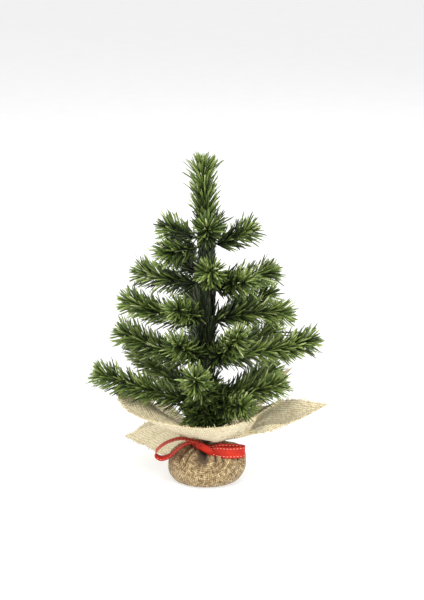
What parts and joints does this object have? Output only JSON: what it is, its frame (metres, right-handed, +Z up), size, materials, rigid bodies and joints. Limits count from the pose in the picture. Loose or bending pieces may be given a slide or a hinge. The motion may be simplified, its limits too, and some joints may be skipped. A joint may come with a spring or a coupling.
{
  "type": "artificial tabletop tree",
  "caption": "Small artificial evergreen with bendable needle branches on a wrapped trunk, its weighted foot gathered in burlap and tied with a stitched red ribbon bow.",
  "frame": {"origin": "On the trunk's axis, at the level of the sack's flat underside, where the tree stands.", "axes": "+Z up the trunk. -Y is the front, where the bow is tied. +X is to the right, seen from the front."},
  "size_m": [0.24, 0.1758, 0.35],
  "materials": {
    "needles": "slightly glossy cut PVC film",
    "trunk_wrap": "dark green wound PVC film",
    "wire": "dark green twisted wire",
    "steel": "drawn wire rod",
    "cement": "rough cast cement",
    "burlap": "open plain-weave jute",
    "ribbon": "satin-faced ribbon with pale saddle stitching"
  },
  "bodies": {
    "root": {"cement_base": "cement", "burlap_wrap": "burlap", "ribbon_bow": "ribbon", "trunk_rod": "steel", "trunk_wrap": "trunk_wrap", "leader_needles": "needles"},
    "tier1_branch1": {"tier1_branch1_wire": "wire", "tier1_branch1_needles": "needles"},
    "tier1_branch2": {"tier1_branch2_wire": "wire", "tier1_branch2_needles": "needles"},
    "tier1_branch3": {"tier1_branch3_wire": "wire", "tier1_branch3_needles": "needles"},
    "tier1_branch4": {"tier1_branch4_wire": "wire", "tier1_branch4_needles": "needles"},
    "tier1_branch5": {"tier1_branch5_wire": "wire", "tier1_branch5_needles": "needles"},
    "tier2_branch1": {"tier2_branch1_wire": "wire", "tier2_branch1_needles": "needles"},
    "tier2_branch2": {"tier2_branch2_wire": "wire", "tier2_branch2_needles": "needles"},
    "tier2_branch3": {"tier2_branch3_wire": "wire", "tier2_branch3_needles": "needles"},
    "tier2_branch4": {"tier2_branch4_wire": "wire", "tier2_branch4_needles": "needles"},
    "tier2_branch5": {"tier2_branch5_wire": "wire", "tier2_branch5_needles": "needles"},
    "tier3_branch1": {"tier3_branch1_wire": "wire", "tier3_branch1_needles": "needles"},
    "tier3_branch2": {"tier3_branch2_wire": "wire", "tier3_branch2_needles": "needles"},
    "tier3_branch3": {"tier3_branch3_wire": "wire", "tier3_branch3_needles": "needles"},
    "tier3_branch4": {"tier3_branch4_wire": "wire", "tier3_branch4_needles": "needles"},
    "tier3_branch5": {"tier3_branch5_wire": "wire", "tier3_branch5_needles": "needles"},
    "tier4_branch1": {"tier4_branch1_wire": "wire", "tier4_branch1_needles": "needles"},
    "tier4_branch2": {"tier4_branch2_wire": "wire", "tier4_branch2_needles": "needles"},
    "tier4_branch3": {"tier4_branch3_wire": "wire", "tier4_branch3_needles": "needles"},
    "tier4_branch4": {"tier4_branch4_wire": "wire", "tier4_branch4_needles": "needles"},
    "tier4_branch5": {"tier4_branch5_wire": "wire", "tier4_branch5_needles": "needles"},
    "tier4_branch6": {"tier4_branch6_wire": "wire", "tier4_branch6_needles": "needles"},
    "tier5_branch1": {"tier5_branch1_wire": "wire", "tier5_branch1_needles": "needles"},
    "tier5_branch2": {"tier5_branch2_wire": "wire", "tier5_branch2_needles": "needles"},
    "tier5_branch3": {"tier5_branch3_wire": "wire", "tier5_branch3_needles": "needles"},
    "tier5_branch4": {"tier5_branch4_wire": "wire", "tier5_branch4_needles": "needles"},
    "tier5_branch5": {"tier5_branch5_wire": "wire", "tier5_branch5_needles": "needles"},
    "tier5_branch6": {"tier5_branch6_wire": "wire", "tier5_branch6_needles": "needles"}
  },
  "joints": [
    {"name": "tier1_branch1_bend", "type": "hinge", "parent": "root", "child": "tier1_branch1", "pos_m": [0.00096, 0.0045, 0.251], "axis": [0.9781, -0.2079, 0], "range_deg": [-10, 20]},
    {"name": "tier1_branch2_bend", "type": "hinge", "parent": "root", "child": "tier1_branch2", "pos_m": [-0.0042, 0.00187, 0.257], "axis": [0.4067, 0.9135, 0], "range_deg": [-10, 20]},
    {"name": "tier1_branch3_bend", "type": "hinge", "parent": "root", "child": "tier1_branch3", "pos_m": [-0.00398, -0.0023, 0.251], "axis": [-0.5, 0.866, 0], "range_deg": [-10, 20]},
    {"name": "tier1_branch4_bend", "type": "hinge", "parent": "root", "child": "tier1_branch4", "pos_m": [0.00016, -0.0046, 0.257], "axis": [-0.9994, -0.0349, 0], "range_deg": [-10, 18]},
    {"name": "tier1_branch5_bend", "type": "hinge", "parent": "root", "child": "tier1_branch5", "pos_m": [0.00458, -0.00048, 0.251], "axis": [-0.1045, -0.9945, 0], "range_deg": [-10, 20]},
    {"name": "tier2_branch1_bend", "type": "hinge", "parent": "root", "child": "tier2_branch1", "pos_m": [0.00444, 0.00119, 0.21], "axis": [0.2588, -0.9659, 0], "range_deg": [-10, 20]},
    {"name": "tier2_branch2_bend", "type": "hinge", "parent": "root", "child": "tier2_branch2", "pos_m": [-0.00244, 0.0039, 0.216], "axis": [0.848, 0.5299, 0], "range_deg": [-10, 20]},
    {"name": "tier2_branch3_bend", "type": "hinge", "parent": "root", "child": "tier2_branch3", "pos_m": [-0.00454, 0.00072, 0.21], "axis": [0.1564, 0.9877, 0], "range_deg": [-10, 20]},
    {"name": "tier2_branch4_bend", "type": "hinge", "parent": "root", "child": "tier2_branch4", "pos_m": [0.00048, -0.00458, 0.216], "axis": [-0.9945, -0.1045, 0], "range_deg": [-10, 20]},
    {"name": "tier2_branch5_bend", "type": "hinge", "parent": "root", "child": "tier2_branch5", "pos_m": [0.00342, -0.00308, 0.21], "axis": [-0.6691, -0.7431, 0], "range_deg": [-10, 20]},
    {"name": "tier3_branch1_bend", "type": "hinge", "parent": "root", "child": "tier3_branch1", "pos_m": [0.0041, 0.00209, 0.169], "axis": [0.454, -0.891, 0], "range_deg": [-10, 6]},
    {"name": "tier3_branch2_bend", "type": "hinge", "parent": "root", "child": "tier3_branch2", "pos_m": [-0.00119, 0.00444, 0.175], "axis": [0.9659, 0.2588, 0], "range_deg": [-10, 20]},
    {"name": "tier3_branch3_bend", "type": "hinge", "parent": "root", "child": "tier3_branch3", "pos_m": [-0.00459, -0.00032, 0.169], "axis": [-0.0698, 0.9976, 0], "range_deg": [-10, 10]},
    {"name": "tier3_branch4_bend", "type": "hinge", "parent": "root", "child": "tier3_branch4", "pos_m": [-0.0025, -0.00386, 0.175], "axis": [-0.8387, 0.5446, 0], "range_deg": [-10, 20]},
    {"name": "tier3_branch5_bend", "type": "hinge", "parent": "root", "child": "tier3_branch5", "pos_m": [0.00459, -0.00032, 0.169], "axis": [-0.0698, -0.9976, 0], "range_deg": [-8, 20]},
    {"name": "tier4_branch1_bend", "type": "hinge", "parent": "root", "child": "tier4_branch1", "pos_m": [0.00381, 0.00257, 0.128], "axis": [0.5592, -0.829, 0], "range_deg": [-10, 18]},
    {"name": "tier4_branch2_bend", "type": "hinge", "parent": "root", "child": "tier4_branch2", "pos_m": [-0.00048, 0.00458, 0.134], "axis": [0.9945, 0.1045, 0], "range_deg": [-10, 18]},
    {"name": "tier4_branch3_bend", "type": "hinge", "parent": "root", "child": "tier4_branch3", "pos_m": [-0.00456, 0.00064, 0.128], "axis": [0.1392, 0.9903, 0], "range_deg": [-10, 14]},
    {"name": "tier4_branch4_bend", "type": "hinge", "parent": "root", "child": "tier4_branch4", "pos_m": [-0.0023, -0.00398, 0.134], "axis": [-0.866, 0.5, 0], "range_deg": [-10, 10]},
    {"name": "tier4_branch5_bend", "type": "hinge", "parent": "root", "child": "tier4_branch5", "pos_m": [0.0023, -0.00398, 0.128], "axis": [-0.866, -0.5, 0], "range_deg": [-10, 14]},
    {"name": "tier4_branch6_bend", "type": "hinge", "parent": "root", "child": "tier4_branch6", "pos_m": [0.0046, -0.00016, 0.134], "axis": [-0.0349, -0.9994, 0], "range_deg": [-10, 6]},
    {"name": "tier5_branch1_bend", "type": "hinge", "parent": "root", "child": "tier5_branch1", "pos_m": [0.00381, 0.00257, 0.083], "axis": [0.5592, -0.829, 0], "range_deg": [-2, 10]},
    {"name": "tier5_branch2_bend", "type": "hinge", "parent": "root", "child": "tier5_branch2", "pos_m": [-0.00367, 0.00277, 0.089], "axis": [0.6018, 0.7986, 0], "range_deg": [-10, 20]},
    {"name": "tier5_branch3_bend", "type": "hinge", "parent": "root", "child": "tier5_branch3", "pos_m": [-0.00457, -0.00056, 0.083], "axis": [-0.1219, 0.9925, 0], "range_deg": [0, 20]},
    {"name": "tier5_branch4_bend", "type": "hinge", "parent": "root", "child": "tier5_branch4", "pos_m": [-0.00072, -0.00454, 0.089], "axis": [-0.9877, 0.1564, 0], "range_deg": [-10, 12]},
    {"name": "tier5_branch5_bend", "type": "hinge", "parent": "root", "child": "tier5_branch5", "pos_m": [0.00308, -0.00342, 0.083], "axis": [-0.7431, -0.6691, 0], "range_deg": [0, 20]},
    {"name": "tier5_branch6_bend", "type": "hinge", "parent": "root", "child": "tier5_branch6", "pos_m": [0.00448, -0.00103, 0.089], "axis": [-0.225, -0.9744, 0], "range_deg": [-10, 12]}
  ]
}
